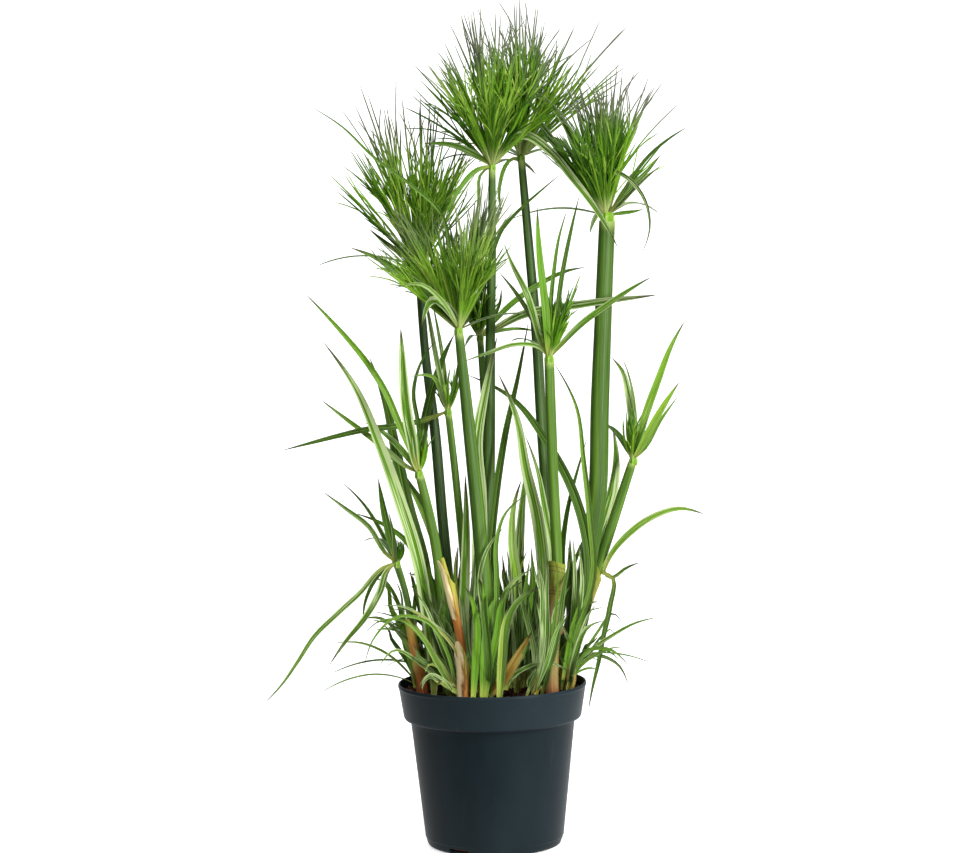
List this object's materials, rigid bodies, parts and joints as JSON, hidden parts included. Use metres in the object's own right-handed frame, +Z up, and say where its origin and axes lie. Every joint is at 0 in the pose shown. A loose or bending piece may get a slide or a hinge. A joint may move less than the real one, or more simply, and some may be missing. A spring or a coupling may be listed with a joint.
{
  "type": "potted papyrus plant",
  "caption": "Potted papyrus plant: tall green stems with brush-like umbels over a dense clump of striped young leaves in a dark blue-grey nursery pot.",
  "frame": {"origin": "centre of the pot's underside, on the surface that the pot stands on", "axes": "+Z up along the pot's axis, +X to the right and +Y away from the viewer of the front view"},
  "size_m": [0.4443, 0.3852, 0.8516],
  "materials": {
    "pot_plastic": "satin, finely grained",
    "peat": "rough and crumbly, stands in for potting peat",
    "stem_green": "smooth living stem with fine lengthwise ridges",
    "leaf_green": "satin leaf with a lengthwise crease",
    "striped_leaf": "satin leaf with pale lengthwise stripes",
    "umbel_green": "fine rays with darker thread-like ends",
    "dry_sheath": "dry papery sheath"
  },
  "bodies": {
    "root": {"leaf_back_1": "striped_leaf", "leaf_back_2": "leaf_green", "leaf_back_3": "striped_leaf", "leaf_back_4": "leaf_green", "leaf_back_5": "leaf_green", "leaf_left_broad": "leaf_green", "leaf_left_dark": "leaf_green", "leaf_left_low": "leaf_green", "leaf_left_striped": "striped_leaf", "leaf_middle_dark": "leaf_green", "leaf_middle_folded": "striped_leaf", "leaf_middle_pale": "striped_leaf", "leaf_middle_short": "leaf_green", "leaf_right_bent": "leaf_green", "leaf_right_edged": "striped_leaf", "leaf_right_long": "leaf_green", "leaf_right_striped": "striped_leaf", "leaf_right_thin": "leaf_green", "old_shoot": "dry_sheath", "pot": "pot_plastic", "sheath_left": "dry_sheath", "sheath_middle": "dry_sheath", "sheath_right": "dry_sheath", "soil": "peat", "stem_1": "stem_green", "stem_10": "stem_green", "stem_11": "stem_green", "stem_2": "stem_green", "stem_3": "stem_green", "stem_4": "stem_green", "stem_5": "stem_green", "stem_6": "stem_green", "stem_7": "stem_green", "stem_8": "stem_green", "stem_9": "stem_green", "tuft_back_left": "leaf_green", "tuft_back_middle": "leaf_green", "tuft_back_right": "leaf_green", "tuft_core_left": "leaf_green", "tuft_core_right": "leaf_green", "tuft_front": "leaf_green", "tuft_left": "leaf_green", "tuft_middle": "leaf_green", "tuft_right": "leaf_green", "tuft_side_left": "leaf_green", "umbel_1": "umbel_green", "umbel_10": "umbel_green", "umbel_11": "umbel_green", "umbel_2": "umbel_green", "umbel_3": "umbel_green", "umbel_4": "umbel_green", "umbel_5": "umbel_green", "umbel_6": "umbel_green", "umbel_7": "umbel_green", "umbel_8": "umbel_green", "umbel_9": "umbel_green"}
  },
  "joints": []
}
